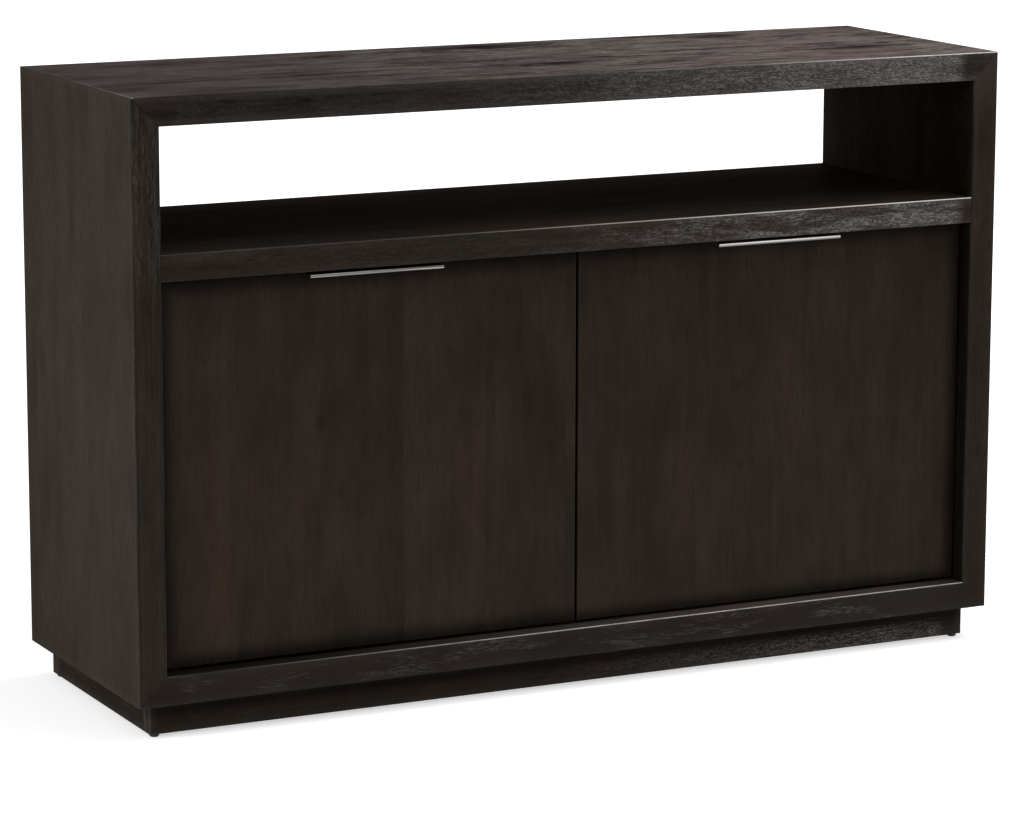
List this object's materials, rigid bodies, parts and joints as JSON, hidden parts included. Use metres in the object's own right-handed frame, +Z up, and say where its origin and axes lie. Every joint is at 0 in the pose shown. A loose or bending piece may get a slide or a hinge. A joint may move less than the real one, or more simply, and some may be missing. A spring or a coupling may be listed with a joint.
{
  "type": "tv stand",
  "caption": "Low two-door media console: mitred thick-board case with an open media bay above inset doors with slim edge pulls, on a recessed plinth.",
  "frame": {"origin": "on the floor under the middle of the case", "axes": "+X to the right seen from the front, +Y to the back, +Z up"},
  "size_m": [1.372, 0.432, 0.894],
  "materials": {
    "case_wood": "dark stained open-grain veneer, satin",
    "door_wood": "dark stained open-grain veneer, upright grain, satin",
    "plinth_wood": "dark stained, matt",
    "inner_wood": "dark stained board",
    "pull_nickel": "brushed nickel",
    "hardware_steel": "zinc plated",
    "catch_plastic": "moulded",
    "bumper_rubber": "soft",
    "glide_plastic": "moulded",
    "washer_nylon": "moulded"
  },
  "bodies": {
    "case": {"back_panel": "inner_wood", "back_panel_screws": "hardware_steel", "bottom_panel": "case_wood", "catch_screws": "hardware_steel", "centre_partition": "inner_wood", "corner_splines": "inner_wood", "floor_glides": "glide_plastic", "left_adjustable_shelf": "inner_wood", "left_catch_housing": "catch_plastic", "left_catch_magnet": "hardware_steel", "left_lower_pivot_plate": "hardware_steel", "left_shelf_pegs": "hardware_steel", "left_side_panel": "case_wood", "left_upper_pivot_plate": "hardware_steel", "media_shelf": "case_wood", "pivot_plate_screws": "hardware_steel", "pivot_washers": "washer_nylon", "plinth_back_rail": "plinth_wood", "plinth_corner_blocks": "plinth_wood", "plinth_cross_rail": "plinth_wood", "plinth_front_rail": "plinth_wood", "plinth_left_rail": "plinth_wood", "plinth_right_rail": "plinth_wood", "plinth_screws": "hardware_steel", "right_adjustable_shelf": "inner_wood", "right_catch_housing": "catch_plastic", "right_catch_magnet": "hardware_steel", "right_lower_pivot_plate": "hardware_steel", "right_shelf_pegs": "hardware_steel", "right_side_panel": "case_wood", "right_upper_pivot_plate": "hardware_steel", "top_panel": "case_wood"},
    "left_door": {"left_bush_screws": "hardware_steel", "left_door_bumpers": "bumper_rubber", "left_door_panel": "door_wood", "left_edge_pull": "pull_nickel", "left_lower_pivot_bush": "hardware_steel", "left_pull_screws": "hardware_steel", "left_strike_plate": "hardware_steel", "left_strike_screw": "hardware_steel", "left_upper_pivot_bush": "hardware_steel"},
    "right_door": {"right_bush_screws": "hardware_steel", "right_door_bumpers": "bumper_rubber", "right_door_panel": "door_wood", "right_edge_pull": "pull_nickel", "right_lower_pivot_bush": "hardware_steel", "right_pull_screws": "hardware_steel", "right_strike_plate": "hardware_steel", "right_strike_screw": "hardware_steel", "right_upper_pivot_bush": "hardware_steel"}
  },
  "joints": [
    {"name": "left_door_hinge", "type": "hinge", "parent": "case", "child": "left_door", "pos_m": [-0.6215, -0.181, 0.36525], "axis": [0, 0, -1], "range_deg": [0, 105]},
    {"name": "right_door_hinge", "type": "hinge", "parent": "case", "child": "right_door", "pos_m": [0.6215, -0.181, 0.36525], "axis": [0, 0, 1], "range_deg": [0, 105]}
  ]
}
